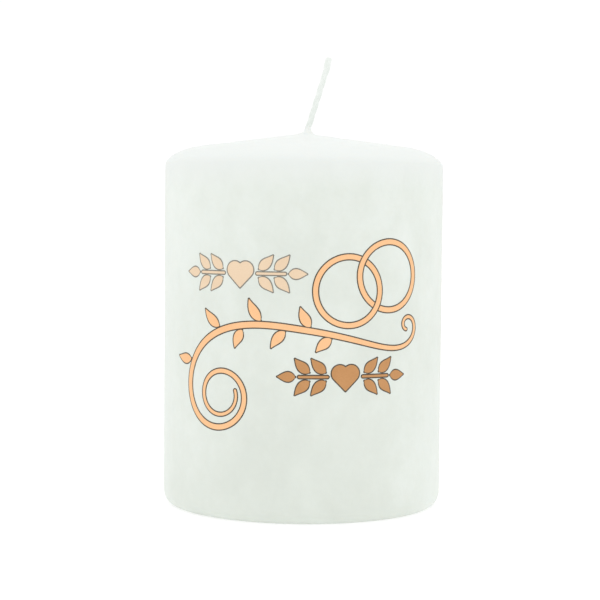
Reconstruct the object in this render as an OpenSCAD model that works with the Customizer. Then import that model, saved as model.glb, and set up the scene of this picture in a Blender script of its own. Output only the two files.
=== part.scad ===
// Printed pillar candle: a pressed wax core in a dipped wax coat, a plaited wick
// primed with wax and held by a tin sustainer, and a wedding ornament printed
// on the front of the wall in two ink films. Millimetres, +Z up, the origin at
// the centre of the base, the printed front towards -Y.

/* [Body] */
// Diameter of the wax body
candle_d = 60; // [56:1:70]
// Height of the wax, from the base to the point of the top
candle_h = 80; // [78:1:120]
// Thickness of the dipped outer coat
coat_t = 1.2; // [0.8:0.1:2]
// Rise of the shallow conical top for each mm towards the middle
top_slope = 0.136; // [0.1:0.002:0.16]
// Width of the rounded shoulder, measured along the radius
shoulder_w = 7.6; // [4:0.2:9]
// Height of the rounded shoulder above the straight wall
shoulder_h = 3.2; // [2:0.2:4]
// Width of the rounded foot, measured along the radius
foot_w = 2; // [1:0.2:4]
// Height of the rounded foot
foot_h = 3; // [1:0.5:5]

/* [Wick] */
// Diameter of the wick with its priming wax
wick_d = 1.2; // [1:0.1:1.6]
// Thickness of the priming wax over the plait
priming_t = 0.1; // [0.08:0.01:0.12]
// Lean of the free end towards +X
wick_lean = 17; // [3:1:25]
// Straight length of the leaning stretch
wick_free = 12.5; // [8:0.5:16]
// Length over which one strand crosses the plait and comes back
plait_pitch = 8.6; // [6:0.2:10]

/* [Sustainer] */
// Diameter of the tin disc under the core
disc_d = 16; // [12:1:22]
// Thickness of the tin
disc_t = 0.3; // [0.2:0.05:0.5]
// Depth of the disc's underside above the base
disc_inset = 0.5; // [0.3:0.1:1]
// Height of the neck crimped round the wick
neck_h = 4; // [3:0.5:8]

/* [Print] */
// Thickness of one ink film
film_t = 0.06; // [0.04:0.01:0.1]
// Width of the dark outline round each printed shape
outline_w = 0.24; // [0.15:0.01:0.3]
// Length of a leaf on the two straight rows
leaf_l = 4; // [3:0.1:4.2]
// Greatest half width of a leaf
leaf_half = 0.95; // [0.7:0.05:1]
// Radius of the middle line of each ring
ring_r = 6.9; // [6.5:0.1:7]
// Width of each ring's band
ring_w = 1; // [0.8:0.1:1.2]

/* [Hidden] */

$fn = 96;
wall_r = candle_d / 2;

// Straight wall up to here; above it the shoulder and the cone make up the height.
wall_top = candle_h - shoulder_h - top_slope * wall_r;

// Wax drawn up round the wick where it leaves the top.
meniscus_r = 2.4;
meniscus_rise = 1.2;
meniscus_neck = 0.85;

// Wick route in the XZ plane: up the axis, a bend, the leaning stretch, a slight
// bend back, and the last stretch to the tip.
wick_r = wick_d / 2;
bend_r = 14;
bend_below_top = 3.6;
crook_r = 25;
crook = 5;
tip_l = 1.4;
priming_sides = 18;
// The channel in the wax keeps bending this far past the lean.
channel_extra = 4;

// Outside of the sustainer's neck, and the top of its disc.
neck_wall = 0.5;
neck_r = wick_r + neck_wall;
disc_top = disc_inset + disc_t;

// Plait: a strand swings this far across and through the wick.
strand_d = 0.32;
plait_across = 0.31;
plait_through = 0.22;
strand_sides = 6;
strand_rings = 170;

// The two ink films lie on each other, just clear of the wax.
film_gap = 0.03;
outline_r = wall_r + film_gap;
ink_r = outline_r + film_t;
// Half width left at a leaf's points, and how near its stalk a leaf is widest.
leaf_point = 0.03;
leaf_fullness = 0.75;

// Middles of the printed shapes on the unrolled wall: [round the wall, height].
upper_row_at = [-13.1, 50.6];
lower_row_at = [8.8, 30];
ring_left_at = [9.4, 47.2];
ring_right_at = [18.6, 50.2];
scroll_at = [1.6, 39.2];

// Straight rows: a heart, with a sprig each side of it. A heart is a square of
// side heart_s stood on one corner, with a round lobe on each upper side.
heart_s = 3.4;
heart_tip = 0.86 * heart_s;
heart_reach = 2 * heart_s;
sprig_start = 3.75;
stem_half = 0.24;
stem_l = 5.7;
// Pairs of leaves: the first one's place along the stem, the step to the next,
// their stalk ends' distance from the stem, and their slant and bow.
leaf_pairs = 2;
first_leaf = 0.35;
leaf_step = 3.3;
leaf_off = 0.9;
leaf_slant = 40;
leaf_bow = 5.5;
slant_back = 0.35;
end_leaf_at = 6.5;
end_leaf_l = 0.9 * leaf_l;

// Scroll: two spirals that leave one point in opposite directions, each with
// its length, its greatest bend in degrees for each mm, and how late it bends.
scroll_heading = 171;
volute_l = 87;
volute_bend = 15.5;
volute_late = 1.05;
volute_steps = 84;
curl_l = 34;
curl_first_bend = -0.6;
curl_bend = 55;
curl_late = 4;
curl_steps = 44;
scroll_half = 0.6;
scroll_end_half = 0.26;
// Leaves along the scroll: [distance from its start, angle off it, length].
scroll_leaves = [[41, -40, 4.4], [50, -42, 5], [59, -46, 5], [68, -50, 4.6],
                 [35, 40, 4], [45, 44, 4.4], [54, 48, 4]];
scroll_leaf_off = 1.3;
scroll_leaf_bow = 6;

// Steps that a leaf, a stem and a whole ring are drawn in.
leaf_steps = 8;
stem_steps = 4;
ring_steps = 48;

wax_white = [0.91, 0.94, 0.9];
core_white = [0.94, 0.93, 0.88];
cotton_white = [0.95, 0.94, 0.9];
tin_grey = [0.72, 0.72, 0.73];
pale_gold = [0.95, 0.85, 0.73];
soft_gold = [1, 0.8, 0.6];
copper_gold = [0.8, 0.6, 0.4];
outline_grey = [0.45, 0.42, 0.38];

// ---- Wax body ----

// Height of the cone at radius r, for a body reduced by inset.
function cone_z(r, inset) = candle_h - inset - top_slope * r;

// Outer half profile from the foot to the start of the cone, reduced by inset.
function body_side(inset) = [
    for (a = [0:10:90])
        [wall_r - inset - foot_w + foot_w * sin(a), foot_h - foot_h * cos(a)],
    for (a = [0:7.5:90])
        [wall_r - inset - shoulder_w + shoulder_w * cos(a),
         wall_top - inset + shoulder_h * sin(a)
         + top_slope * (shoulder_w * (1 - cos(a)) + inset)]
];

// Meniscus from the cone up to the neck, steeper towards the wick.
function meniscus() = [
    for (i = [0:8])
        let (r = meniscus_r - (meniscus_r - meniscus_neck) * i / 8)
        [r, cone_z(r, 0) + meniscus_rise * pow(i / 8, 3)]
];

module coat_profile() {
    top = meniscus();
    inner = body_side(coat_t);
    polygon(concat(
        body_side(0), top,
        [[0, top[8][1]], [0, cone_z(0, coat_t)]],
        [for (i = [len(inner) - 1:-1:0]) inner[i]]));
}

module overdip_coat() {
    color(wax_white)
    difference() {
        rotate_extrude() coat_profile();
        wick_channel();
    }
}

module wax_core() {
    color(core_white)
    difference() {
        rotate_extrude()
        polygon(concat([[0, 0]], body_side(coat_t), [[0, cone_z(0, coat_t)]]));
        wick_channel();
        cylinder(r = disc_d / 2, h = disc_top);
        cylinder(r = neck_r, h = disc_top + neck_h);
    }
}

// ---- Wick ----

// A place on the wick: [x, z, lean]. ahead() goes straight on for a distance,
// and turned() follows an arc, towards +X for sense 1 and back for -1.
function ahead(p, l) = [p[0] + l * sin(p[2]), p[1] + l * cos(p[2]), p[2]];
function turned(p, r, sense, l) =
    let (b = p[2] + sense * l / r * 180 / PI)
    [p[0] + sense * r * (cos(p[2]) - cos(b)), p[1] + sense * r * (sin(b) - sin(p[2])), b];

rise_l = candle_h - bend_below_top - disc_inset;
bend_l = bend_r * wick_lean * PI / 180;
crook_l = crook_r * crook * PI / 180;

wick_foot = [0, disc_inset, 0];
bend_start = ahead(wick_foot, rise_l);
bend_end = turned(bend_start, bend_r, 1, bend_l);
crook_start = ahead(bend_end, wick_free);
crook_end = turned(crook_start, crook_r, -1, crook_l);
wick_tip = ahead(crook_end, tip_l);
wick_l = rise_l + bend_l + wick_free + crook_l + tip_l;

// The place a distance s along the wick from its foot.
function along_wick(s) =
    let (a = s - rise_l, b = a - bend_l, c = b - wick_free, d = c - crook_l)
    a <= 0 ? ahead(wick_foot, s) :
    b <= 0 ? turned(bend_start, bend_r, 1, a) :
    c <= 0 ? ahead(bend_end, b) :
    d <= 0 ? turned(crook_start, crook_r, -1, c) :
    ahead(crook_end, d);

// Channel for the wick through the wax: up the axis, then bent towards +X to
// just past the neck of the meniscus.
module wick_channel() {
    translate([0, 0, disc_inset]) cylinder(r = wick_r, h = rise_l);
    translate([bend_r, 0, bend_start[1]])
    rotate([90, 0, 180])
    rotate_extrude(angle = wick_lean + channel_extra)
    translate([bend_r, 0]) circle(wick_r);
}

// Corners of one ring across the wick at place p, its middle moved sideways by
// across in the plane of the bend, and by through at right angles to it.
function wick_ring(p, across, through, r, m) = [
    for (k = [0:m - 1])
        let (a = across + r * cos(360 * k / m), b = through + r * sin(360 * k / m))
        [p[0] + a * cos(p[2]), b, p[1] - a * sin(p[2])]
];

// Faces between n rings of m corners each, the first corner numbered from.
function skin(n, m, from = 0) = [
    for (i = [0:n - 2], k = [0:m - 1])
        let (a = from + i * m + k, b = from + i * m + (k + 1) % m)
        each [[a, a + m, b], [b, a + m, b + m]]
];
function cap(m, from) = [for (k = [0:m - 1]) from + k];
function flipped(faces) = [for (f = faces) [for (k = [len(f) - 1:-1:0]) f[k]]];

// Distances along the wick at which the priming has a ring: the foot, the two
// ends of the straight stretch and steps round both bends.
priming_stops = concat(
    [0],
    [for (i = [0:6]) rise_l + bend_l * i / 6],
    [for (i = [0:3]) rise_l + bend_l + wick_free + crook_l * i / 3],
    [wick_l]);

// Priming wax: a tube round the plait, open at the foot and domed over the tip.
module wick_priming() {
    m = priming_sides;
    bore = [for (s = priming_stops) wick_ring(along_wick(s), 0, 0, wick_r - priming_t, m)];
    dome = [for (a = [20:20:80])
        wick_ring(ahead(wick_tip, wick_r * sin(a)), 0, 0, wick_r * cos(a), m)];
    outside = concat(
        [for (s = priming_stops) wick_ring(along_wick(s), 0, 0, wick_r, m)], dome);
    n = len(bore) * m;
    rim = [for (k = [0:m - 1]) [n + k, n + (k + 1) % m, (k + 1) % m, k]];
    color(wax_white)
    polyhedron(
        [for (ring = concat(bore, outside)) each ring],
        concat(
            flipped(skin(len(bore), m)), [cap(m, n - m)],
            skin(len(outside), m, n), flipped([cap(m, n + (len(outside) - 1) * m)]),
            rim),
        convexity = 4);
}

// One strand of the plait. It swings from side to side, and twice as often
// through the wick, so that the strands pass over each other by turns.
module wick_strand(phase) {
    rings = [for (i = [0:strand_rings])
        let (s = wick_l * i / strand_rings, turn = 360 * s / plait_pitch + phase)
        wick_ring(along_wick(s), plait_across * sin(turn), plait_through * sin(2 * turn),
                  strand_d / 2, strand_sides)];
    m = strand_sides;
    color(cotton_white)
    polyhedron(
        [for (ring = rings) each ring],
        concat(skin(len(rings), m), [cap(m, 0)], flipped([cap(m, strand_rings * m)])),
        convexity = 4);
}

module wick_strand_1() {
    wick_strand(0);
}

module wick_strand_2() {
    wick_strand(120);
}

module wick_strand_3() {
    wick_strand(240);
}

module wick_sustainer() {
    color(tin_grey)
    difference() {
        union() {
            translate([0, 0, disc_inset]) cylinder(r = disc_d / 2, h = disc_t);
            translate([0, 0, disc_inset]) cylinder(r = neck_r, h = disc_t + neck_h);
        }
        cylinder(r = wick_r, h = disc_top + neck_h + 1);
    }
}

// ---- Print ----

// A point on the wall: u round it from the middle of the front, at radius r.
function on_wall(u, z, r) =
    let (a = u / wall_r * 180 / PI) [r * sin(a), -r * cos(a), z];

// A stroke's middle line on the unrolled wall, as [u, z, heading] places. Its
// bend, in degrees for each mm, goes from k0 to k1 as the power p of the way.
function stroke(start, heading, l, k0, k1, p, n) =
    let (ds = l / n)
    [for (i = 0, u = start[0], z = start[1], a = heading; i <= n;
          k = k0 + (k1 - k0) * pow((i + 0.5) / n, p),
          mid = a + k * ds / 2,
          u = u + ds * cos(mid), z = z + ds * sin(mid), a = a + k * ds, i = i + 1)
        [u, z, a]];

// The same stroke with extra length g at each end, for the outline film.
function grown_stroke(start, heading, l, k0, k1, p, n, g) =
    stroke([start[0] - g * cos(heading), start[1] - g * sin(heading)],
           heading, l + 2 * g, k0, k1, p, n);

// Half widths along a stroke, t from 0 to 1.
leaf_shape = function (t) leaf_point + leaf_half * sin(180 * pow(t, leaf_fullness));
line_shape = function (t) scroll_end_half + (scroll_half - scroll_end_half) * sin(180 * t);
stem_shape = function (t) stem_half;
band_shape = function (t) ring_w / 2;

// Extra width and the radius of the film a shape is printed in.
function film_grow(outline) = outline ? outline_w : 0;
function film_r(outline) = outline ? outline_r : ink_r;

// Ink along a stroke, as a film that follows the wall.
module ribbon(places, shape, outline, closed = false) {
    n = len(places) - 1;
    rings = closed ? n : n + 1;
    r = film_r(outline);
    points = [for (i = [0:rings - 1])
        let (q = places[i],
             h = shape(i / n) + film_grow(outline),
             left = [q[0] - sin(q[2]) * h, q[1] + cos(q[2]) * h],
             right = [q[0] + sin(q[2]) * h, q[1] - cos(q[2]) * h])
        each [on_wall(left[0], left[1], r), on_wall(right[0], right[1], r),
              on_wall(right[0], right[1], r + film_t), on_wall(left[0], left[1], r + film_t)]];
    sides = [for (i = [0:n - 1], k = [0:3])
        let (near = 4 * i, far = 4 * ((i + 1) % rings), next = (k + 1) % 4)
        each [[near + k, near + next, far + k], [near + next, far + next, far + k]]];
    ends = closed ? [] : [[3, 2, 1, 0], [4 * n, 4 * n + 1, 4 * n + 2, 4 * n + 3]];
    polyhedron(points, concat(sides, ends), convexity = 8);
}

// One leaf, from its stalk end.
module leaf(start, heading, l, bow, outline) {
    ribbon(grown_stroke(start, heading, l, bow, bow, 1, leaf_steps, film_grow(outline)),
           leaf_shape, outline);
}

// A sprig that points left (side -1) or right (side 1) of its row's middle.
module sprig(row_at, side, outline = false) {
    along = side > 0 ? 0 : 180;
    foot = [row_at[0] + side * sprig_start, row_at[1]];
    ribbon(grown_stroke(foot, along, stem_l, 0, 0, 1, stem_steps, film_grow(outline)),
           stem_shape, outline);
    for (i = [0:leaf_pairs - 1], up = [-1, 1]) {
        bow = leaf_bow * up * side;
        slant = side > 0 ? leaf_slant * up : 180 - leaf_slant * up;
        start = foot + [side * (first_leaf + i * leaf_step), up * leaf_off];
        leaf(start, slant - bow * leaf_l * slant_back, leaf_l, bow, outline);
    }
    leaf(foot + [side * end_leaf_at, 0], along, end_leaf_l, 0, outline);
}

// A heart, cut from a thin tube so that it follows the wall.
module heart(row_at, outline = false) {
    g = film_grow(outline);
    r = film_r(outline);
    intersection() {
        translate([0, 0, row_at[1] - heart_reach])
        difference() {
            cylinder(r = r + film_t, h = 2 * heart_reach);
            cylinder(r = r, h = 2 * heart_reach);
        }
        rotate([0, 0, row_at[0] / wall_r * 180 / PI])
        translate([0, 0, row_at[1] - heart_tip])
        rotate([90, 0, 0])
        linear_extrude(2 * wall_r)
        rotate(45) {
            translate([-g, -g]) square(heart_s + g);
            translate([heart_s / 2, heart_s]) circle(heart_s / 2 + g);
            translate([heart_s, heart_s / 2]) circle(heart_s / 2 + g);
        }
    }
}

module row_outline(row_at) {
    color(outline_grey) {
        sprig(row_at, -1, true);
        sprig(row_at, 1, true);
        heart(row_at, true);
    }
}

module upper_row_outline() {
    row_outline(upper_row_at);
}

module upper_sprig_left() {
    color(pale_gold) sprig(upper_row_at, -1);
}

module upper_heart() {
    color(pale_gold) heart(upper_row_at);
}

module upper_sprig_right() {
    color(pale_gold) sprig(upper_row_at, 1);
}

module lower_row_outline() {
    row_outline(lower_row_at);
}

module lower_sprig_left() {
    color(copper_gold) sprig(lower_row_at, -1);
}

module lower_heart() {
    color(copper_gold) heart(lower_row_at);
}

module lower_sprig_right() {
    color(copper_gold) sprig(lower_row_at, 1);
}

// The scroll's middle line: the curl at the right, read backwards, then the
// volute at the left.
curl = stroke(scroll_at, scroll_heading - 180, curl_l, curl_first_bend, curl_bend,
              curl_late, curl_steps);
volute = stroke(scroll_at, scroll_heading, volute_l, 0, volute_bend, volute_late, volute_steps);
scroll_line = concat(
    [for (i = [curl_steps:-1:1]) [curl[i][0], curl[i][1], curl[i][2] + 180]], volute);

module foliage(outline = false) {
    for (f = scroll_leaves) {
        q = scroll_line[round(f[0] / (curl_l + volute_l) * (len(scroll_line) - 1))];
        h = q[2] + f[1];
        start = [q[0] + scroll_leaf_off * cos(h), q[1] + scroll_leaf_off * sin(h)];
        leaf(start, h, f[2], scroll_leaf_bow * sign(f[1]), outline);
    }
}

module vine_outline() {
    color(outline_grey) {
        ribbon(scroll_line, line_shape, true);
        foliage(true);
    }
}

module vine_scroll() {
    color(soft_gold) ribbon(scroll_line, line_shape, false);
}

module vine_leaves() {
    color(soft_gold) foliage();
}

// An arc of a ring, from one bearing to another about the ring's middle.
function ring_arc(middle, from, to) =
    let (k = 180 / PI / ring_r)
    stroke(middle + ring_r * [cos(from), sin(from)], from + 90, (to - from) / k,
           k, k, 1, ceil((to - from) / 360 * ring_steps));

// The rings cross at two points, half_lens each side of the line between them.
ring_step = ring_right_at - ring_left_at;
step_bearing = atan2(ring_step[1], ring_step[0]);
half_lens = acos(norm(ring_step) / 2 / ring_r);
// A ring that goes under breaks this far each side of the crossing.
under_gap = (ring_w / 2 + outline_w) / ring_r * 180 / PI;

// Ink of a ring that goes under at one bearing.
module broken_ring(middle, cross) {
    color(soft_gold)
    ribbon(ring_arc(middle, cross + under_gap, cross + 360 - under_gap), band_shape, false);
}

// The left ring goes under at the upper crossing, the right one at the lower.
module ring_left() {
    broken_ring(ring_left_at, step_bearing + half_lens);
}

module ring_right() {
    broken_ring(ring_right_at, step_bearing + 180 + half_lens);
}

// Outline of both rings: the left one whole, and the right one in the two arcs
// between the left one's edges.
module rings_outline() {
    upper = step_bearing + 180 - half_lens;
    lower = step_bearing + 180 + half_lens;
    color(outline_grey) {
        ribbon(ring_arc(ring_left_at, 0, 360), band_shape, true, closed = true);
        ribbon(ring_arc(ring_right_at, lower + under_gap, upper + 360 - under_gap),
               band_shape, true);
        ribbon(ring_arc(ring_right_at, upper + under_gap, lower - under_gap),
               band_shape, true);
    }
}

wax_core();
overdip_coat();
wick_strand_1();
wick_strand_2();
wick_strand_3();
wick_priming();
wick_sustainer();
upper_row_outline();
upper_sprig_left();
upper_heart();
upper_sprig_right();
vine_outline();
vine_scroll();
vine_leaves();
rings_outline();
ring_left();
ring_right();
lower_row_outline();
lower_sprig_left();
lower_heart();
lower_sprig_right();
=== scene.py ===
"""Looks of the printed pillar candle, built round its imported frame.

Shapes are worked out in millimetres, with +Z up and the printed front towards
-Y, and are scaled to metres when their meshes are made.
"""

import math

import bmesh
import bpy
from mathutils import Matrix, Vector, noise


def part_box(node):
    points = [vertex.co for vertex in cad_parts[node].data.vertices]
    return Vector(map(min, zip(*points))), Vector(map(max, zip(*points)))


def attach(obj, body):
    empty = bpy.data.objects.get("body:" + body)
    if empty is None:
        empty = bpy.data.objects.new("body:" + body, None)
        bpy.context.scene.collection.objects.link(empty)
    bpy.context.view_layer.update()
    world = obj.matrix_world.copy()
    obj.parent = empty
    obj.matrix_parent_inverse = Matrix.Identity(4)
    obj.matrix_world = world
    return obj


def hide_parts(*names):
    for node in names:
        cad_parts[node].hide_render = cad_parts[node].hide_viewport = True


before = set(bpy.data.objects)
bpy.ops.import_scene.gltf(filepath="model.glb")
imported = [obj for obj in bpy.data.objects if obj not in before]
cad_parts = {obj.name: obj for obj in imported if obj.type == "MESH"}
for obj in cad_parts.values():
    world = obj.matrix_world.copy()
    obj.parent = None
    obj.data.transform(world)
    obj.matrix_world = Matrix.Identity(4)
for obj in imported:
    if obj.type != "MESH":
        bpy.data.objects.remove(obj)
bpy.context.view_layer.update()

MM = 0.001

# ---- Sizes, as the frame has them ----

# Wax body.
WALL_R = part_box("overdip_coat")[1].x / MM
COAT_T = WALL_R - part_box("wax_core")[1].x / MM
APEX = 80.0
TOP_SLOPE = 0.136
SHOULDER_W, SHOULDER_H = 7.6, 3.2
FOOT_W, FOOT_H = 2.0, 3.0
WALL_TOP = APEX - SHOULDER_H - TOP_SLOPE * WALL_R

# Wick: up the axis, a bend, a leaning stretch, a slight bend back, the tip.
WICK_R = 0.6
WICK_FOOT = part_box("wick_strand_1")[0].z / MM
BEND_AT, BEND_R, LEAN = APEX - 3.6, 14.0, 17.0
FREE_L = 12.5
CROOK_R, CROOK = 25.0, 5.0
TIP_L = 1.4
PLAIT_PITCH = 8.6
ACROSS, THROUGH = 0.31, 0.22

# Tin disc under the core, and its neck.
DISC_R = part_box("wick_sustainer")[1].x / MM
DISC_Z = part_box("wick_sustainer")[0].z / MM
DISC_T = 0.3
NECK_R = WICK_R + 0.5
NECK_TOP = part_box("wick_sustainer")[1].z / MM

# Print: middles of the printed shapes, as [round the wall, height].
UPPER_ROW_AT = (-13.1, 50.6)
LOWER_ROW_AT = (8.8, 30.0)
RING_LEFT_AT = (9.4, 47.2)
RING_RIGHT_AT = (18.6, 50.2)
SCROLL_AT = (1.6, 39.2)
OUTLINE_W = 0.24
LEAF_L, LEAF_HALF, LEAF_POINT, LEAF_FULLNESS = 4.0, 0.95, 0.03, 0.75
RING_R, RING_W = 6.9, 1.0
HEART_S = 3.4
HEART_TIP = 0.86 * HEART_S
SPRIG_START, STEM_HALF, STEM_L = 3.75, 0.24, 5.7
FIRST_LEAF, LEAF_STEP, LEAF_OFF = 0.35, 3.3, 0.9
LEAF_SLANT, LEAF_BOW, SLANT_BACK = 40, 5.5, 0.35
END_LEAF_AT, END_LEAF_L = 6.5, 3.6
SCROLL_HEADING = 171
VOLUTE_L, VOLUTE_BEND, VOLUTE_LATE, VOLUTE_STEPS = 87, 15.5, 1.05, 84
CURL_L, CURL_FIRST_BEND, CURL_BEND, CURL_LATE, CURL_STEPS = 34, -0.6, 55, 4, 44
SCROLL_HALF, SCROLL_END_HALF = 0.6, 0.26
SCROLL_LEAVES = ((41, -40, 4.4), (50, -42, 5), (59, -46, 5), (68, -50, 4.6),
                 (35, 40, 4), (45, 44, 4.4), (54, 48, 4))
SCROLL_LEAF_OFF, SCROLL_LEAF_BOW = 1.3, 6

# Ink above the wax, the outline's below the fill's, and how far both sink in.
OUTLINE_LIFT = 0.03
INK_LIFT = 0.055
SUNK = 0.02


# ---- Small helpers ----

def smoothstep(t):
    t = min(1.0, max(0.0, t))
    return t * t * (3 - 2 * t)


def sin_deg(a):
    return math.sin(math.radians(a))


def cos_deg(a):
    return math.cos(math.radians(a))


def make_piece(name, points, faces, node, material):
    """A mesh piece that stands for one CAD node, from points in millimetres."""
    mesh = bpy.data.meshes.new(name)
    mesh.from_pydata([(x * MM, y * MM, z * MM) for x, y, z in points], [], faces)
    mesh.validate()
    outward = bmesh.new()
    outward.from_mesh(mesh)
    bmesh.ops.recalc_face_normals(outward, faces=outward.faces)
    outward.to_mesh(mesh)
    outward.free()
    mesh.polygons.foreach_set("use_smooth", [True] * len(mesh.polygons))
    piece = bpy.data.objects.new(name, mesh)
    bpy.context.scene.collection.objects.link(piece)
    mesh.materials.append(material)
    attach(piece, "root")
    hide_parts(node)
    return piece


def level_ring(r, z, around):
    """Points of a level circle round the candle's axis."""
    return [(r * cos_deg(360 * k / around), r * sin_deg(360 * k / around), z)
            for k in range(around)]


def grid_faces(rings, around, first=0, closed=False):
    """Quads between rings of points, each ring going round, the first numbered first."""
    faces = []
    for i in range(rings if closed else rings - 1):
        a, b = first + i * around, first + (i + 1) % rings * around
        for k in range(around):
            n = (k + 1) % around
            faces.append((a + k, a + n, b + n, b + k))
    return faces


# ---- Wax body ----

def cone_z(r, inset=0.0):
    return APEX - inset - TOP_SLOPE * r


def side_profile(inset, foot_steps, wall_steps, shoulder_steps):
    """Points (radius, height) from the base up to the start of the cone."""
    points = []
    for i in range(foot_steps + 1):
        a = 90 * i / foot_steps
        points.append((WALL_R - inset - FOOT_W + FOOT_W * sin_deg(a), FOOT_H - FOOT_H * cos_deg(a)))
    for i in range(1, wall_steps):
        points.append((WALL_R - inset, FOOT_H + (WALL_TOP - inset - FOOT_H) * i / wall_steps))
    for i in range(shoulder_steps + 1):
        a = 90 * i / shoulder_steps
        points.append((
            WALL_R - inset - SHOULDER_W + SHOULDER_W * cos_deg(a),
            WALL_TOP - inset + SHOULDER_H * sin_deg(a)
            + TOP_SLOPE * (SHOULDER_W * (1 - cos_deg(a)) + inset)))
    return points


# Unevenness of the dipped surface: height and size of its broad and its fine waves,
# and how far along X the fine ones are shifted in the noise. The waves fade in from the
# foot over a height, and from a radius on the top over a distance.
BROAD_H, BROAD_SIZE = 0.07, 24
FINE_H, FINE_SIZE, FINE_SHIFT = 0.018, 9, 90
WAVE_FADE = 6
CALM_R, CALM_FADE = 2, 6


def wave(x, y, z):
    """Height of the dipped surface's waves at a point, in mm."""
    broad = noise.noise(Vector((x, y, z)) / BROAD_SIZE)
    fine = noise.noise(Vector((x + FINE_SHIFT, y, z)) / FINE_SIZE)
    return (BROAD_H * broad + FINE_H * fine) * smoothstep(z / WAVE_FADE)


def wick_place(s):
    """Middle (x, z) and lean of the wick, a distance s along it from its foot."""
    x, z, lean = 0.0, WICK_FOOT, 0.0
    stretches = (
        (BEND_AT - WICK_FOOT, 0.0),
        (BEND_R * math.radians(LEAN), 1 / BEND_R),
        (FREE_L, 0.0),
        (CROOK_R * math.radians(CROOK), -1 / CROOK_R),
        (TIP_L, 0.0))
    for length, bend in stretches:
        step = min(s, length)
        a, b = math.radians(lean), math.radians(lean) + step * bend
        if bend:
            x += (math.cos(a) - math.cos(b)) / bend
            z += (math.sin(b) - math.sin(a)) / bend
        else:
            x += step * math.sin(a)
            z += step * math.cos(a)
        lean = math.degrees(b)
        s -= step
        if s <= 0:
            break
    return x + s * sin_deg(lean), z + s * cos_deg(lean), lean


WICK_L = (BEND_AT - WICK_FOOT + BEND_R * math.radians(LEAN) + FREE_L
          + CROOK_R * math.radians(CROOK) + TIP_L)
# Distance along the wick at which it leaves the wax.
EXIT_S = APEX - WICK_FOOT


def ring_across_wick(s, radius, around):
    """Points round the wick at distance s, at a radius that may depend on the bearing."""
    cx, cz, lean = wick_place(s)
    points = []
    for k in range(around):
        a = 2 * math.pi * k / around
        r = radius(a) if callable(radius) else radius
        x, y = r * math.cos(a), r * math.sin(a)
        points.append((cx + x * cos_deg(lean), y, cz - x * sin_deg(lean)))
    return points


# Wax from the strands' middles outwards, how sharply the bulges part, how uneven their
# wax is, and how fast that changes along the wick.
STRAND_COVER = 0.39
BULGE_SHARPNESS = 22.0
UNEVEN, UNEVEN_RATE = 0.012, 1.3
# Extra radius where wax has gathered just under the tip: its middle's distance from
# the tip, and its spread.
TIP_SWELL, SWELL_AT, SWELL_SPREAD = 0.09, 1.5, 1.3
# The strands' ends show this far below the wax.
BARE_FOOT = 0.25


def wick_outline(s):
    """Radius of the waxed plait at distance s, as a function of the bearing round it."""
    middles = []
    for phase in (0, 120, 240):
        turn = 360 * s / PLAIT_PITCH + phase
        middles.append((ACROSS * sin_deg(turn), THROUGH * sin_deg(2 * turn)))

    def radius(a):
        reach = [x * math.cos(a) + y * math.sin(a) for x, y in middles]
        total = sum(math.exp(BULGE_SHARPNESS * r) for r in reach)
        bulge = math.log(total / 3) / BULGE_SHARPNESS
        waver = UNEVEN * noise.noise(Vector((math.cos(a), math.sin(a), s * UNEVEN_RATE)))
        swell = TIP_SWELL * math.exp(-((WICK_L - s - SWELL_AT) / SWELL_SPREAD) ** 2)
        return STRAND_COVER + bulge + waver + swell
    return radius


# Wax drawn up round the wick: the meniscus's reach and rise, the width over which it
# falls away and how much less that is towards +X, then the collar's start past the
# wick's exit and its length.
MENISCUS_R, MENISCUS_RISE = 4.5, 1.1
FALL_W, FALL_CHANGE = 0.43, 0.04
COLLAR_FROM, COLLAR_L = 1.12, 0.8
# Wax over the plait at the collar's lower end, and the neck's radius there. Its middle
# and its outline are the wick's at these distances past the exit.
NECK_COVER = 0.03
NECK_OF_WAX = WICK_R + NECK_COVER
NECK_MIDDLE_AT, NECK_OUTLINE_AT = 1.15, 1


def wavy_rings(profile, around):
    """Rings of the revolved profile, moved out by the waves along its normal."""
    points = []
    for i, (r, z) in enumerate(profile):
        (ra, za), (rb, zb) = profile[max(0, i - 1)], profile[min(len(profile) - 1, i + 1)]
        length = math.hypot(rb - ra, zb - za)
        nr, nz = (zb - za) / length, (ra - rb) / length
        for x, y, _ in level_ring(r, z, around):
            d = wave(x, y, z)
            out = 1 + nr * d / r
            points.append((x * out, y * out, z + nz * d))
    return points


def top_rings(start_r, around):
    """Rings over the cone and up the meniscus, that close in on the leaning wick."""
    cone_steps, meniscus_steps = 26, 26
    radii = [start_r + (MENISCUS_R - start_r) * i / cone_steps
             for i in range(1, cone_steps + 1)]
    radii += [NECK_OF_WAX + (MENISCUS_R - NECK_OF_WAX) * (1 - i / meniscus_steps) ** 2
              for i in range(1, meniscus_steps + 1)]
    neck_x = wick_place(EXIT_S + NECK_MIDDLE_AT)[0]
    plait = wick_outline(EXIT_S + NECK_OUTLINE_AT)
    points = []
    for r in radii:
        shift = neck_x * smoothstep(1 - (r - WICK_R) / (MENISCUS_R - WICK_R))
        for k in range(around):
            a = 2 * math.pi * k / around
            bulge = (max(0.0, plait(a) + NECK_COVER - NECK_OF_WAX)
                     * smoothstep(1 - (r - NECK_OF_WAX)))
            x, y = shift + (r + bulge) * math.cos(a), (r + bulge) * math.sin(a)
            rise = MENISCUS_RISE * math.exp(-(r - WICK_R) / (FALL_W - FALL_CHANGE * math.cos(a)))
            d = wave(x, y, cone_z(r)) * smoothstep((r - CALM_R) / CALM_FADE)
            points.append((x, y, cone_z(math.hypot(x, y)) + rise + d))
    return points


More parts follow.
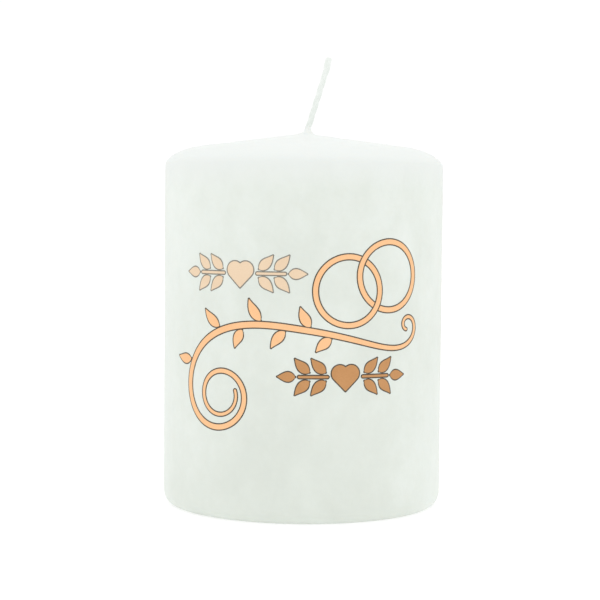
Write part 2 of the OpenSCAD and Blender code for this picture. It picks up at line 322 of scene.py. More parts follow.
def collar_rings(around):
    """Rings that take on the plait's outline as the wax thins out up the wick."""
    steps = 8
    points = []
    for i in range(1, steps + 1):
        t = i / steps
        s = EXIT_S + COLLAR_FROM + COLLAR_L * t
        plait, drape = wick_outline(s), smoothstep(2 * t)
        cover = NECK_COVER * (1 - 2 * t)
        points += ring_across_wick(
            s, lambda a: max(NECK_OF_WAX, plait(a) + NECK_COVER) * (1 - drape)
            + (plait(a) + cover) * drape, around)
    return points


def make_coat(material):
    """The dipped coat: a closed shell whose top is drawn up round the wick."""
    around = 300
    outer = side_profile(0.0, foot_steps=14, wall_steps=96, shoulder_steps=30)
    inner = side_profile(COAT_T, foot_steps=6, wall_steps=10, shoulder_steps=12)
    points = wavy_rings(outer, around) + top_rings(outer[-1][0], around) + collar_rings(around)
    # Inside: down within the plait, then out under the cone and down the wall.
    hidden = 0.12
    inside_from, inside_step, inside_rings = 1.8, 0.2, 8
    for i in range(inside_rings):
        s = EXIT_S + inside_from - inside_step * i
        plait = wick_outline(s)
        points += ring_across_wick(s, lambda a: plait(a) - hidden, around)
    points += ring_across_wick(EXIT_S - COAT_T, WICK_R - hidden, around)
    for r, z in reversed(inner):
        points += level_ring(r, z, around)
    # A ring close to the inner edge of the base keeps that edge crisp.
    crisp = 0.05
    points += level_ring(inner[0][0] + crisp, 0.0, around)
    faces = grid_faces(len(points) // around, around, closed=True)
    return make_piece("dipped_coat", points, faces, "overdip_coat", material)


# Wax granules of the underside: their size, how far and how finely their edges wander,
# the width and the depth of the creases between them, and the depth and the size of the
# lumps on them. The levels keep the two noises apart, and the mix the granules' tones.
GRANULE = 2.6
RAGGED, RAGGED_SIZE, RAGGED_LEVEL = 0.35, 1.7, 3.0
CREASE_W, CREASE = 0.42, 0.16
LUMP, LUMP_SIZE, LUMP_LEVEL = 0.08, 1.9, 7.0
TONE_MIX = 7.3
# Vertex attribute that tells the core's material each granule's tone, with painted shade darker in
# the creases between granules.
GRANULE_SHADE = "granule_shade"


def granule(x, y):
    """Crease (0 to 1) and tone (0 to 1) of the pressed wax granules at a point of the underside."""
    bent = RAGGED * noise.noise(Vector((x, y, RAGGED_LEVEL)) / RAGGED_SIZE)
    near, centres = noise.voronoi(Vector((x + bent, y - bent, 0.0)) / GRANULE)
    crease = smoothstep(1 - (near[1] - near[0]) / CREASE_W)
    tone = 0.5 + 0.5 * noise.cell(centres[0] * TONE_MIX)
    return crease, tone


def make_core(material):
    """The pressed core: granular below, with the disc's recess and the wick's channel."""
    around = 380
    base_steps, cone_steps = 66, 6
    # Room towards the other pieces, the recess's bevel and the room round the wick.
    gap, bevel, wick_room = 0.02, 0.1, 0.1
    side = side_profile(COAT_T + gap, foot_steps=8, wall_steps=8, shoulder_steps=10)
    rim = side[0][0]
    # The granules flatten out this near the rim and the recess.
    edge = 0.4
    recess = DISC_R + bevel
    points = []
    # Underside, from the recess's edge out to the foot.
    tones_and_crease_shade = []
    for i in range(base_steps + 1):
        r = recess + (rim - recess) * i / base_steps
        for x, y, _ in level_ring(r, 0.0, around):
            crease, tone = granule(x, y)
            lump = 0.5 + 0.5 * noise.noise(Vector((x, y, LUMP_LEVEL)) / LUMP_SIZE)
            depth = CREASE * crease + LUMP * lump
            points.append((x, y, depth * smoothstep((rim - r) / edge)
                           * smoothstep((r - DISC_R) / edge)))
            # Painted shade: the creases between granules darker, over each granule's own tone and
            # its lumps.
            tones_and_crease_shade.append(0.75 * tone * (1 - crease) + 0.25 * lump)
    for r, z in side[1:]:
        points += level_ring(r, z, around)
    for i in range(1, cone_steps + 1):
        r = side[-1][0] + (2 * WICK_R - side[-1][0]) * i / cone_steps
        points += level_ring(r, cone_z(r, COAT_T + gap), around)
    # Down the channel, round the neck and out over the disc.
    halfway = 40
    for s in (EXIT_S - COAT_T - bevel, EXIT_S - COAT_T - 2, BEND_AT - WICK_FOOT, halfway,
              NECK_TOP - WICK_FOOT + 0.5):
        points += ring_across_wick(s, WICK_R + wick_room, around)
    disc_top = DISC_Z + DISC_T
    for r, z in ((NECK_R + gap, NECK_TOP + gap), (NECK_R + gap, disc_top + bevel),
                 (NECK_R + bevel, disc_top + gap), (DISC_R - bevel, disc_top + gap),
                 (DISC_R + gap, disc_top - bevel / 2), (DISC_R + gap, bevel)):
        points += level_ring(r, z, around)
    faces = grid_faces(len(points) // around, around, closed=True)
    piece = make_piece("pressed_core", points, faces, "wax_core", material)
    shades = piece.data.attributes.new(GRANULE_SHADE, "FLOAT", "POINT")
    shades.data.foreach_set("value", tones_and_crease_shade + [0.5] * (len(points) - len(tones_and_crease_shade)))
    return piece


# ---- Wick ----

# Height of the rounded tip, how blunt it is, and its last point's rise.
DOME_H, BLUNTNESS, POINT_H = 0.46, 3.2, 0.01


def make_wick(material):
    """The primed plait, from just above the strands' ends to its rounded tip."""
    around = 28
    hidden_steps, shown_steps, dome_steps = 60, 150, 7
    # Closer rings from a little under the surface upwards.
    shown_from = EXIT_S - 2
    stops = [BARE_FOOT + (shown_from - BARE_FOOT) * i / hidden_steps for i in range(hidden_steps)]
    stops += [shown_from + (WICK_L - shown_from) * i / shown_steps for i in range(shown_steps + 1)]
    points = []
    for s in stops:
        points += ring_across_wick(s, wick_outline(s), around)
    end = wick_outline(WICK_L)
    for i in range(1, dome_steps + 1):
        t = i / (dome_steps + 1)
        shrink = math.sqrt(1 - t ** BLUNTNESS)
        points += ring_across_wick(WICK_L + DOME_H * t, lambda a: end(a) * shrink, around)
    rings = len(points) // around
    faces = grid_faces(rings, around)
    faces.append(tuple(range(around - 1, -1, -1)))
    tip = len(points)
    points += ring_across_wick(WICK_L + DOME_H + POINT_H, 0.0, 1)
    last = (rings - 1) * around
    faces += [(last + k, last + (k + 1) % around, tip) for k in range(around)]
    return make_piece("primed_wick", points, faces, "wick_priming", material)


# Rolled rim of the tin disc: its middle's distance from the edge, half width and half
# height. Tin sheet: its thickness, then the radius, half width and height of its rib and
# of the dished ring inside that. Crimps round the neck: their number, height, spread and
# depth, and the share of that which shows in the bore.
ROLL_IN, ROLL_W, ROLL_H = 0.2, 0.16, 0.15
SHEET_T = 0.22
RIB_R, RIB_W, RIB_H = 5.2, 0.5, -0.16
DISH_R, DISH_W, DISH_H = 2.6, 0.7, 0.05
CRIMPS, CRIMP_Z, CRIMP_SPREAD, CRIMP_DEPTH, BORE_SHARE = 4, 3.3, 0.7, 0.13, 0.4


def sheet_offset(r):
    """Height of the pressed sheet above its plane, at radius r."""
    return (RIB_H * math.exp(-((r - RIB_R) / RIB_W) ** 2)
            + DISH_H * math.exp(-((r - DISH_R) / DISH_W) ** 2))


def make_sustainer(material):
    """The pressed tin disc: a rolled rim, a raised rib and a crimped neck."""
    around = 144
    sheet_steps, neck_steps, bore_steps = 40, 14, 6
    low, high = DISC_Z, DISC_Z + DISC_T
    neck_in, neck_out = WICK_R + 0.11, NECK_R - 0.02
    # Out from the bore under the sheet, round the rolled rim and back over the sheet.
    profile = [(neck_in, low + 0.1), (neck_in + 0.1, low)]
    sheet_from, sheet_to = neck_in + 0.4, DISC_R - 0.42
    sheet = [sheet_from + (sheet_to - sheet_from) * i / sheet_steps
             for i in range(sheet_steps + 1)]
    profile += [(r, low + sheet_offset(r)) for r in sheet]
    for a in range(-75, 91, 15):
        profile.append((DISC_R - ROLL_IN + ROLL_W * cos_deg(a),
                        (low + high) / 2 + ROLL_H * sin_deg(a)))
    profile += [(r, low + SHEET_T + sheet_offset(r)) for r in reversed(sheet)
                if r > neck_out + 0.25]
    # A fillet, the neck's outside, its rounded lip and the bore back down.
    profile += [(neck_out + 0.14, high - 0.02), (neck_out + 0.03, high + 0.12)]
    neck_from, neck_to = high + 0.2, NECK_TOP - 0.1
    profile += [(neck_out, neck_from + (neck_to - neck_from) * i / neck_steps)
                for i in range(neck_steps + 1)]
    profile += [(neck_out - 0.06, NECK_TOP - 0.02), (neck_out - 0.15, NECK_TOP),
                (neck_in + 0.06, NECK_TOP - 0.02), (neck_in, neck_to)]
    profile += [(neck_in, neck_to - (neck_to - high) * i / bore_steps)
                for i in range(1, bore_steps + 1)]
    points = []
    for r, z in profile:
        # The crimps press the neck's outside in, its bore less, and the disc not at all.
        pressed = 1.0 if neck_in + 0.2 < r < neck_out + 0.1 else BORE_SHARE if r < 1 else 0.0
        depth = pressed * CRIMP_DEPTH * math.exp(-((z - CRIMP_Z) / CRIMP_SPREAD) ** 2)
        for k in range(around):
            a = 360 * k / around
            dented = r - depth * max(0.0, cos_deg(CRIMPS * a)) ** 3
            points.append((dented * cos_deg(a), dented * sin_deg(a), z))
    faces = grid_faces(len(profile), around, closed=True)
    return make_piece("tin_sustainer", points, faces, "wick_sustainer", material)


# ---- Print ----

def on_wall(u, z, lift):
    """The point u round the wall from the front's middle, lift above the uneven wax."""
    a = u / WALL_R
    x, y = WALL_R * math.sin(a), -WALL_R * math.cos(a)
    r = WALL_R + wave(x, y, z) + lift
    return r * math.sin(a), -r * math.cos(a), z


def stroke(start, heading, length, k0, k1, late, steps):
    """Places (u, z, heading) along a line whose bend goes from k0 to k1 degrees a mm."""
    u, z = start
    step = length / steps
    places = []
    for i in range(steps + 1):
        places.append((u, z, heading))
        bend = k0 + (k1 - k0) * ((i + 0.5) / steps) ** late
        middle = heading + bend * step / 2
        u += step * cos_deg(middle)
        z += step * sin_deg(middle)
        heading += bend * step
    return places


def leaf_shape(t):
    return LEAF_POINT + LEAF_HALF * sin_deg(180 * t ** LEAF_FULLNESS)


def scroll_shape(t):
    return SCROLL_END_HALF + (SCROLL_HALF - SCROLL_END_HALF) * sin_deg(180 * t)


def stem_shape(t):
    return STEM_HALF


# How far in from its edge a film reaches its full height, and how much of its half width
# that takes at most. On the way up are a foot, at a share of the height, and a shoulder,
# at a share of the way in and of the height.
FILM_EDGE, WIDEST_EDGE = 0.05, 0.4
EDGE_FOOT = 0.35
EDGE_IN, EDGE_UP = 0.3, 0.8
# Turns of the rows that round off a stroke's ends.
END_TURNS = (25, 45, 65, 80)
# Steps round a ring, and how far the lower outline tucks under at a crossing, where it
# keeps this share of its lift.
RING_STEPS = 180
RING_TUCK, TUCKED_LIFT = 0.12, 0.85
# Steps along a leaf, a stem, and a heart's straight sides and lobes.
LEAF_STEPS, STEM_STEPS, SIDE_STEPS, LOBE_STEPS = 24, 12, 20, 40
# A heart's middle point, along the square's sides, and the sizes of the rings round it
# below, from the inside out, and above, from the outside in.
HEART_MIDDLE = 0.66
HEART_BELOW, HEART_ABOVE = (0.35, 0.7, 1), (1, 0.8, 0.58, 0.36, 0.16)


def film_section(half, lift):
    """Offsets across a film and lifts above the wax, going once round its section."""
    edge = min(FILM_EDGE, WIDEST_EDGE * half)
    top = [(half, EDGE_FOOT * lift), (half - EDGE_IN * edge, EDGE_UP * lift),
           (half - edge, lift), (0.5 * (half - edge), lift)]
    return ([(half, -SUNK)] + top + [(0.0, lift)] + [(-v, up) for v, up in reversed(top)]
            + [(-half, -SUNK), (-0.5 * half, -SUNK), (0.0, -SUNK), (0.5 * half, -SUNK)])


class Film:
    """Ink films gathered into one piece, grown by grow and lifted by lift."""

    def __init__(self, outline):
        self.grow = OUTLINE_W if outline else 0.0
        self.lift = OUTLINE_LIFT if outline else INK_LIFT
        self.points, self.faces = [], []

    def ribbon(self, places, shape):
        """Ink along a line, with rounded ends."""
        steps = len(places) - 1
        rows = [(u, z, a, shape(i / steps) + self.grow) for i, (u, z, a) in enumerate(places)]
        for at, way in ((0, -1), (-1, 1)):
            u, z, a, half = rows[at]
            for turn in END_TURNS:
                reach = way * half * sin_deg(turn)
                row = (u + reach * cos_deg(a), z + reach * sin_deg(a), a, half * cos_deg(turn))
                rows.insert(0 if way < 0 else len(rows), row)
        first = len(self.points)
        for u, z, a, half in rows:
            section = film_section(half, self.lift)
            for v, up in section:
                self.points.append(on_wall(u - sin_deg(a) * v, z + cos_deg(a) * v, up))
        self.faces += grid_faces(len(rows), len(section), first)
        self.cap_ends(first, len(rows), len(section))

    def ring(self, middle, start=None, end=None):
        """A ring, whole, or between two bearings that depend on the distance from its middle."""
        section = film_section(RING_W / 2 + self.grow, self.lift)
        closed = start is None
        rows = RING_STEPS if closed else RING_STEPS + 1
        first, around = len(self.points), len(section)
        for i in range(rows):
            for v, up in section:
                rho = RING_R + v
                low, high = (0, 360) if closed else (start(rho), end(rho))
                a = low + (high - low) * i / RING_STEPS
                self.points.append(on_wall(middle[0] + rho * cos_deg(a),
                                           middle[1] + rho * sin_deg(a), up))
        self.faces += grid_faces(rows, around, first, closed)
        if not closed:
            self.cap_ends(first, rows, around)

    def cap_ends(self, first, rows, around):
        """Faces over both ends of a strip of rows, the first point numbered first."""
        last = first + (rows - 1) * around
        self.faces.append(tuple(range(first + around - 1, first - 1, -1)))
        self.faces.append(tuple(range(last, last + around)))

    def leaf(self, start, heading, length, bow):
        self.ribbon(stroke(start, heading, length, bow, bow, 1, LEAF_STEPS), leaf_shape)

    def sprig(self, row_at, side):
        """A stem with two pairs of leaves and an end leaf, left (-1) or right (1) of its row."""
        along = 0 if side > 0 else 180
        foot = (row_at[0] + side * SPRIG_START, row_at[1])
        self.ribbon(stroke(foot, along, STEM_L, 0, 0, 1, STEM_STEPS), stem_shape)
        for pair in (0, 1):
            for up in (-1, 1):
                bow = LEAF_BOW * up * side
                slant = LEAF_SLANT * up if side > 0 else 180 - LEAF_SLANT * up
                start = (foot[0] + side * (FIRST_LEAF + pair * LEAF_STEP), foot[1] + up * LEAF_OFF)
                self.leaf(start, slant - bow * LEAF_L * SLANT_BACK, LEAF_L, bow)
        self.leaf((foot[0] + side * END_LEAF_AT, foot[1]), along, END_LEAF_L, 0)

    def heart(self, row_at):
        """A square on its corner with two round lobes, as rings round a middle point.

        The rim is built along the square's sides, from its lower corner, and then turned.
        """
        g, s = self.grow, HEART_S
        lobe = s / 2 + g
        notch = (3 * s + math.sqrt(8 * lobe ** 2 - s ** 2)) / 4
        last = math.degrees(math.atan2(notch - s / 2, notch - s))
        bearings = [-90 + (last + 90) * i / LOBE_STEPS for i in range(LOBE_STEPS + 1)]
        arc = [(s + lobe * cos_deg(a), s / 2 + lobe * sin_deg(a)) for a in bearings]
        side = [(-g + (s + g) * i / SIDE_STEPS, -g) for i in range(SIDE_STEPS)]
        half = side + arc
        rim = half + [(y, x) for x, y in reversed(half[1:-1])]
        for _ in range(2):
            rim = [((a[0] + 2 * b[0] + c[0]) / 4, (a[1] + 2 * b[1] + c[1]) / 4)
                   for a, b, c in zip(rim[-1:] + rim[:-1], rim, rim[1:] + rim[:1])]
        middle = HEART_MIDDLE * s
        first, around = len(self.points), len(rim)

        def rim_ring(inset, scale, up):
            for x, y in rim:
                dx, dy = x - middle, y - middle
                k = scale * (1 - inset / math.hypot(dx, dy))
                x, y = middle + dx * k, middle + dy * k
                u = row_at[0] + (x - y) * math.sqrt(0.5)
                z = row_at[1] - HEART_TIP + (x + y) * math.sqrt(0.5)
                self.points.append(on_wall(u, z, up))

        rings = [(0, scale, -SUNK) for scale in HEART_BELOW]
        rings += [(0, 1, EDGE_FOOT * self.lift), (EDGE_IN * FILM_EDGE, 1, EDGE_UP * self.lift)]
        rings += [(FILM_EDGE, scale, self.lift) for scale in HEART_ABOVE]
        for inset, scale, up in rings:
            rim_ring(inset, scale, up)
        self.faces += grid_faces(len(rings), around, first)
        u, z = row_at[0], row_at[1] - HEART_TIP + 2 * middle * math.sqrt(0.5)
        for at, up, way in ((first, -SUNK, -1), (first + (len(rings) - 1) * around, self.lift, 1)):
            hub = len(self.points)
            self.points.append(on_wall(u, z, up))
            for k in range(around):
                corners = (at + k, at + (k + 1) % around, hub)
                self.faces.append(corners[::way])

    def piece(self, node, slot, material):
        return make_piece(node + "_film", self.points, self.faces, node, material)


def scroll_line(finer):
    """The scroll's middle line: the curl read backwards, then the volute."""
    curl = stroke(SCROLL_AT, SCROLL_HEADING - 180, CURL_L, CURL_FIRST_BEND, CURL_BEND,
                  CURL_LATE, CURL_STEPS * finer)
    volute = stroke(SCROLL_AT, SCROLL_HEADING, VOLUTE_L, 0, VOLUTE_BEND,
                    VOLUTE_LATE, VOLUTE_STEPS * finer)
    return [(u, z, a + 180) for u, z, a in curl[:0:-1]] + volute


def add_foliage(film):
    line = scroll_line(1)
    for distance, angle, length in SCROLL_LEAVES:
        u, z, a = line[round(distance / (CURL_L + VOLUTE_L) * (len(line) - 1))]
        heading = a + angle
        start = (u + SCROLL_LEAF_OFF * cos_deg(heading), z + SCROLL_LEAF_OFF * sin_deg(heading))
        film.leaf(start, heading, length, math.copysign(SCROLL_LEAF_BOW, angle))


def across_ring(apart, reach):
    """Bearings, from the line to the other ring's middle, at which a circle meets that ring.

    The two middles are apart, and reach is the distance from the other middle.
    """
    return lambda rho: math.degrees(math.acos(
        (rho ** 2 + apart ** 2 - reach ** 2) / (2 * rho * apart)))


def make_row(row, at, slot, ink, outline_ink):
    """A heart between two sprigs, in an ink and its outline."""
    outline = Film(True)
    outline.sprig(at, -1)
    outline.sprig(at, 1)
    outline.heart(at)
    outline.piece(row + "_row_outline", "outline_ink", outline_ink)
    for side, way in (("left", -1), ("right", 1)):
        film = Film(False)
        film.sprig(at, way)
        film.piece(f"{row}_sprig_{side}", slot, ink)
    film = Film(False)
    film.heart(at)
    film.piece(row + "_heart", slot, ink)


def make_vine(ink, outline_ink):
    """The scroll and its leaves."""
    line = scroll_line(4)
    outline = Film(True)
    outline.ribbon(line, scroll_shape)
    add_foliage(outline)
    outline.piece("vine_outline", "outline_ink", outline_ink)
    film = Film(False)
    film.ribbon(line, scroll_shape)
    film.piece("vine_scroll", "gold_ink", ink)
    film = Film(False)
    add_foliage(film)
    film.piece("vine_leaves", "gold_ink", ink)


def make_rings(ink, outline_ink):
    """Two linked rings: the left one goes under at the upper crossing, the right one below."""
    du, dz = RING_RIGHT_AT[0] - RING_LEFT_AT[0], RING_RIGHT_AT[1] - RING_LEFT_AT[1]
    to_right = math.degrees(math.atan2(dz, du))
    to_left = to_right + 180
    apart, clear = math.hypot(du, dz), RING_W / 2 + OUTLINE_W
    outside, inside = across_ring(apart, RING_R + clear), across_ring(apart, RING_R - clear)
    for node, middle, bearing in (("ring_left", RING_LEFT_AT, to_right),
                                  ("ring_right", RING_RIGHT_AT, to_left)):
        film = Film(False)
        film.ring(middle, lambda rho: bearing + outside(rho),
                  lambda rho: bearing + 360 + inside(rho))
        film.piece(node, "gold_ink", ink)
    # The right ring's outline stops just under the left one's.
    clear -= RING_TUCK
    outside, inside = across_ring(apart, RING_R + clear), across_ring(apart, RING_R - clear)
    outline = Film(True)
    outline.ring(RING_LEFT_AT)
    outline.lift *= TUCKED_LIFT
    outline.ring(RING_RIGHT_AT, lambda rho: to_left + outside(rho),
                 lambda rho: to_left + 360 - outside(rho))
    outline.ring(RING_RIGHT_AT, lambda rho: to_left - inside(rho),
                 lambda rho: to_left + inside(rho))
    outline.piece("rings_outline", "outline_ink", outline_ink)


# ---- Materials ----

class Paint:
    """A procedural material, built up on its Principled shader in object space."""

    def __init__(self, name):
        self.material = bpy.data.materials.new(name)
        self.material.use_nodes = True
        self.nodes = self.material.node_tree.nodes
        self.links = self.material.node_tree.links
        self.shader = self.nodes["Principled BSDF"]
        self.place = self.nodes.new("ShaderNodeTexCoord").outputs["Object"]

    def stretched(self, x, y, z):
        """Object space scaled along each axis."""
        mapping = self.nodes.new("ShaderNodeMapping")
        mapping.inputs["Scale"].default_value = (x, y, z)
        self.links.new(self.place, mapping.inputs["Vector"])
        return mapping.outputs["Vector"]

    def noise(self, scale, detail=2.0, rough=0.5, place=None, distortion=0.0):
        """Noise in object space or at another place, scale of its features in each metre."""
        made = self.nodes.new("ShaderNodeTexNoise")
        made.inputs["Scale"].default_value = scale
        made.inputs["Detail"].default_value = detail
        made.inputs["Roughness"].default_value = rough
        made.inputs["Distortion"].default_value = distortion
        self.links.new(place or self.place, made.inputs["Vector"])
        return made.outputs[0]

    def math(self, kind, a, b):
        """A sum or product of two values, each a socket or a number."""
        made = self.nodes.new("ShaderNodeMath")
        made.operation = kind
        for socket, value in zip(made.inputs, (a, b)):
            if isinstance(value, (int, float)):
                socket.default_value = value
            else:
                self.links.new(value, socket)
        return made.outputs[0]

    def blend(self, *parts):
        """The weighted sum of (value, weight) pairs."""
        total = None
        for value, weight in parts:
            part = self.math("MULTIPLY", value, weight)
            total = part if total is None else self.math("ADD", total, part)
        return total

    def spread(self, value, low, high, to_low, to_high):
        """A value mapped from one range to another."""
        made = self.nodes.new("ShaderNodeMapRange")
        for name, number in (("From Min", low), ("From Max", high),
                             ("To Min", to_low), ("To Max", to_high)):
            made.inputs[name].default_value = number
        self.links.new(value, made.inputs["Value"])
        return made.outputs[0]

    def ramp(self, value, *stops):
        """Colours (place, (r, g, b)) picked by a value."""
        made = self.nodes.new("ShaderNodeValToRGB")
        elements = made.color_ramp.elements
        while len(elements) < len(stops):
            elements.new(0.5)
        for element, (at, colour) in zip(elements, stops):
            element.position = at
            element.color = (*colour, 1)
        self.links.new(value, made.inputs[0])
        return made.outputs[0]

    def mix(self, factor, first, second):
        """A colour mixed with a plain one (r, g, b), by a value."""
        made = self.nodes.new("ShaderNodeMix")
        made.data_type = "RGBA"
        self.links.new(factor, made.inputs[0])
        self.links.new(first, made.inputs[6])
        made.inputs[7].default_value = (*second, 1)
        return made.outputs[2]

    def axis(self, which):
        """One coordinate in object space: 0 for X, 1 for Y, 2 for Z."""
        split = self.nodes.new("ShaderNodeSeparateXYZ")
        self.links.new(self.place, split.inputs[0])
        return split.outputs[which]

    def colour(self, value):
        self.links.new(value, self.shader.inputs["Base Color"])

    def roughness(self, value, low, high):
        """Roughness from low to high as a noise value goes from 0.3 to 0.7."""
        self.links.new(self.spread(value, 0.3, 0.7, low, high), self.shader.inputs["Roughness"])

    def bump(self, *layers):
        """Bumps of (height value, depth in metres), one on another."""
        normal = None
        for value, depth in layers:
            made = self.nodes.new("ShaderNodeBump")
            made.inputs["Strength"].default_value = 1.0
            made.inputs["Distance"].default_value = depth
            self.links.new(value, made.inputs["Height"])
            if normal is not None:
                self.links.new(normal, made.inputs["Normal"])
            normal = made.outputs["Normal"]
        self.links.new(normal, self.shader.inputs["Normal"])

    def set(self, **values):
        """Constants on the shader's own sockets, named with _ for each space."""
        for name, value in values.items():
            self.shader.inputs[name.replace("_", " ")].default_value = value


def coat_wax():
    """Dipped wax: faintly cloudy, greenish white on the wall; painted light makes it whiter on top
    and at the wick, painted shade darker down the front.
    """
    paint = Paint("coat_wax")
    upright = paint.stretched(1.0, 1.0, 0.75)
    clouds = paint.noise(58, 4, 0.55, upright, 0.5)
    patches = paint.noise(210, 3, 0.6, upright, 0.3)
    flecks = paint.noise(900, 2, 0.5)
    # Painted shade: darker and more olive down the middle of the front, most towards the bottom.
    front = paint.spread(paint.axis(1), -0.030, -0.010, 1.0, 0.0)
    low = paint.spread(paint.axis(2), 0.015, 0.078, 1.0, 0.10)
    # Painted light: the wall lighter towards its top.
    high = paint.spread(paint.axis(2), 0.050, 0.070, 0.0, 1.0)
    painted_front_shade = paint.math("MULTIPLY", front, low)
    shade = paint.blend((clouds, 0.34), (patches, 0.24), (flecks, 0.08), (painted_front_shade, -0.17),
                        (high, 0.04))
    # The noises' mean comes to the middle of the ramp.
    shade = paint.math("ADD", shade, 0.175)
    wall = paint.ramp(shade, (0.25, (0.690, 0.728, 0.672)), (0.40, (0.733, 0.773, 0.718)),
                      (0.50, (0.768, 0.809, 0.760)), (0.62, (0.808, 0.848, 0.804)))
    # Painted light: whiter over the shoulder and the cone, and whiter still at the neck round the
    # wick.
    top = paint.spread(paint.axis(2), 0.0675, 0.0740, 0.0, 1.0)
    painted_neck_light = paint.spread(paint.axis(2), 0.0797, 0.0808, 0.0, 1.0)
    body = paint.mix(top, wall, (0.797, 0.826, 0.803))
    paint.colour(paint.mix(painted_neck_light, body, (0.852, 0.878, 0.855)))
    paint.roughness(patches, 0.38, 0.52)
    paint.bump((paint.noise(420, 3, 0.6), 0.00003), (paint.noise(2600, 2, 0.5), 0.00001))
    paint.set(Subsurface_Weight=0.2, Subsurface_Radius=(1.0, 0.9, 0.8), Subsurface_Scale=0.0002,
              IOR=1.44, Specular_IOR_Level=0.06)
    return paint.material


def priming_wax():
    """Thin wax over the plait, with the cotton's fibres just showing."""
    paint = Paint("priming_wax")
    fibres = paint.noise(2400, 3, 0.6, paint.stretched(1.0, 1.0, 0.25), 0.6)
    clouds = paint.noise(500, 2)
    shade = paint.blend((fibres, 0.5), (clouds, 0.5))
    paint.colour(paint.ramp(shade, (0.36, (0.805, 0.845, 0.805)), (0.5, (0.83, 0.865, 0.83)),
                            (0.64, (0.855, 0.885, 0.857))))
    paint.roughness(fibres, 0.45, 0.6)
    paint.bump((fibres, 0.000012), (paint.noise(6000), 0.000004))
    paint.set(IOR=1.44, Specular_IOR_Level=0.2)
    return paint.material


def wick_cotton():
    """Bleached cotton yarn: fine threads along it, and a soft sheen."""
    paint = Paint("wick_cotton")
    threads = paint.noise(7000, 2, 0.6, paint.stretched(1.0, 1.0, 0.12), 0.5)
    slubs = paint.noise(900, 2)
    shade = paint.blend((threads, 0.6), (slubs, 0.4))
    paint.colour(paint.ramp(shade, (0.35, (0.66, 0.63, 0.56)), (0.5, (0.82, 0.80, 0.74)),
                            (0.65, (0.91, 0.90, 0.86))))
    paint.roughness(threads, 0.75, 0.95)
    paint.bump((threads, 0.00005), (slubs, 0.00002))
    paint.set(Sheen_Weight=0.3, Sheen_Roughness=0.5)
    return paint.material


def core_wax():
    """Pressed wax granules, warmer than the coat, each a little different, with painted shade in
    the creases between them.
    """
    paint = Paint("core_wax")
    shades = paint.nodes.new("ShaderNodeAttribute")
    shades.attribute_name = GRANULE_SHADE
    dust = paint.noise(2200, 3, 0.6)
    shade = paint.blend((shades.outputs["Fac"], 0.7), (dust, 0.3))
    paint.colour(paint.ramp(shade, (0.15, (0.66, 0.65, 0.59)), (0.42, (0.78, 0.775, 0.71)),
                            (0.75, (0.86, 0.855, 0.80))))
    paint.roughness(dust, 0.6, 0.8)
    paint.bump((dust, 0.00004))
    paint.set(IOR=1.44, Specular_IOR_Level=0.3)
    return paint.material


def tinplate():
    """Bright rolled tinplate with turning marks and a thin bloom of wax."""
    paint = Paint("tinplate")
    bloom = paint.noise(420, 4, 0.6, distortion=0.5)
    lines = paint.noise(3200, 2, 0.5, paint.stretched(1.0, 0.06, 1.0))
    shade = paint.blend((bloom, 0.6), (lines, 0.4))
    paint.colour(paint.ramp(shade, (0.36, (0.56, 0.56, 0.57)), (0.5, (0.68, 0.68, 0.69)),
                            (0.64, (0.78, 0.78, 0.77))))
    paint.roughness(shade, 0.22, 0.46)
    paint.bump((lines, 0.000012), (bloom, 0.00002))
    paint.set(Metallic=1.0)
    return paint.material


def printed_ink(name, dark, middle, light):
    """Flat printed ink: a fine uneven grain in its colour, gloss and surface."""
    paint = Paint(name)
    grain_noise = paint.noise(3800, 3, 0.65)
    drift = paint.noise(260, 2, 0.5)
    shade = paint.blend((grain_noise, 0.55), (drift, 0.45))
    paint.colour(paint.ramp(shade, (0.34, dark), (0.5, middle), (0.66, light)))
    paint.roughness(grain_noise, 0.42, 0.6)
    paint.bump((grain_noise, 0.000012), (drift, 0.00002))
    paint.set(IOR=1.45, Specular_IOR_Level=0.3)
    return paint.material


make_coat(coat_wax())
make_core(core_wax())
make_wick(priming_wax())
make_sustainer(tinplate())

outline_ink = printed_ink(
    "outline_ink", (0.075, 0.061, 0.044), (0.088, 0.072, 0.053), (0.108, 0.089, 0.067))
faint_outline_ink = printed_ink(
    "faint_outline_ink", (0.215, 0.20, 0.17), (0.24, 0.225, 0.19), (0.27, 0.25, 0.215))
pale_ink = printed_ink(
    "pale_ink", (0.79, 0.597, 0.413), (0.815, 0.625, 0.438), (0.84, 0.652, 0.463))
gold_ink = printed_ink(
    "gold_ink", (0.91, 0.518, 0.262), (0.93, 0.541, 0.279), (0.95, 0.566, 0.30))
copper_ink = printed_ink(
    "copper_ink", (0.518, 0.254, 0.097), (0.543, 0.271, 0.106), (0.572, 0.292, 0.119))
make_row("upper", UPPER_ROW_AT, "pale_ink", pale_ink, faint_outline_ink)
make_row("lower", LOWER_ROW_AT, "copper_ink", copper_ink, outline_ink)
make_vine(gold_ink, outline_ink)
make_rings(gold_ink, outline_ink)

cotton = wick_cotton()
for node in ("wick_strand_1", "wick_strand_2", "wick_strand_3"):
    for material_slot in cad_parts[node].material_slots:
        material_slot.material = cotton


# ---- Stage ----

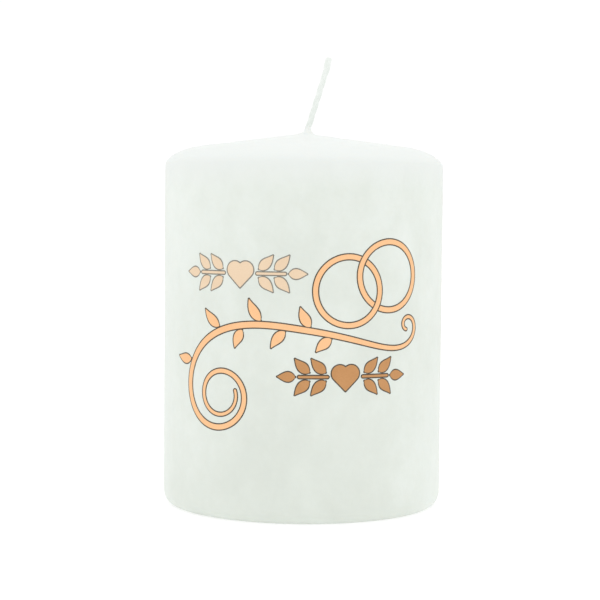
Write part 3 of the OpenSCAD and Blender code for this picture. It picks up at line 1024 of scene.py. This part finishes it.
def make_floor():
    """A plain pale floor, which glows a little so that it meets the backdrop."""
    mesh = bpy.data.meshes.new("floor")
    half = 6.0
    mesh.from_pydata([(-half, -half, 0), (half, -half, 0), (half, half, 0), (-half, half, 0)],
                     [], [(0, 1, 2, 3)])
    floor = bpy.data.objects.new("floor", mesh)
    bpy.context.scene.collection.objects.link(floor)
    paint = Paint("pale_floor")
    paint.set(Base_Color=(0.5, 0.5, 0.5, 1), Roughness=0.9, Emission_Color=(1, 1, 1, 1),
              Emission_Strength=0.55)
    mesh.materials.append(paint.material)


LIGHT_AIM = (0, 0, 0.05)


def make_light(name, place, width, height, power):
    """A soft box in metres and watts, turned towards the candle's middle."""
    data = bpy.data.lights.new(name, "AREA")
    data.shape = "RECTANGLE"
    data.size, data.size_y = width, height
    data.energy = power
    light = bpy.data.objects.new(name, data)
    light.location = place
    towards = Vector(LIGHT_AIM) - Vector(place)
    light.rotation_euler = towards.to_track_quat("-Z", "Y").to_euler()
    bpy.context.scene.collection.objects.link(light)


def make_world():
    """An even white studio all round."""
    world = bpy.data.worlds.new("studio")
    world.use_nodes = True
    back = world.node_tree.nodes["Background"]
    back.inputs["Color"].default_value = (1, 1, 1, 1)
    back.inputs["Strength"].default_value = 1.03
    bpy.context.scene.world = world


# Camera: in front and level with the upper wall, tilted down a little and rolled
# slightly. Its distance, height and lens are in mm, its turns in degrees.
CAMERA_D = 360.0
CAMERA_Z = 62.9
CAMERA_LENS, SENSOR_W = 99.4, 36
TILT, TURN, ROLL = 3.03, 0.104, 0.49


def make_camera():
    data = bpy.data.cameras.new("camera")
    data.lens = CAMERA_LENS
    data.sensor_width = SENSOR_W
    camera = bpy.data.objects.new("camera", data)
    turn = Matrix.Rotation(math.radians(TURN), 4, "Z")
    tilt = Matrix.Rotation(math.radians(90 - TILT), 4, "X")
    roll = Matrix.Rotation(math.radians(ROLL), 4, "Z")
    place = Matrix.Translation((0, -CAMERA_D * MM, CAMERA_Z * MM))
    camera.matrix_world = place @ turn @ tilt @ roll
    bpy.context.scene.collection.objects.link(camera)
    bpy.context.scene.camera = camera


make_floor()
make_world()
make_light("top_softbox", (0, 0.05, 0.9), 0.7, 0.7, 0.9)
make_light("left_softbox", (-0.8, -0.1, 0.2), 0.6, 0.8, 0.02)
make_light("right_softbox", (0.8, -0.1, 0.2), 0.6, 0.8, 0.04)
make_camera()
bpy.context.scene.view_settings.view_transform = "Standard"
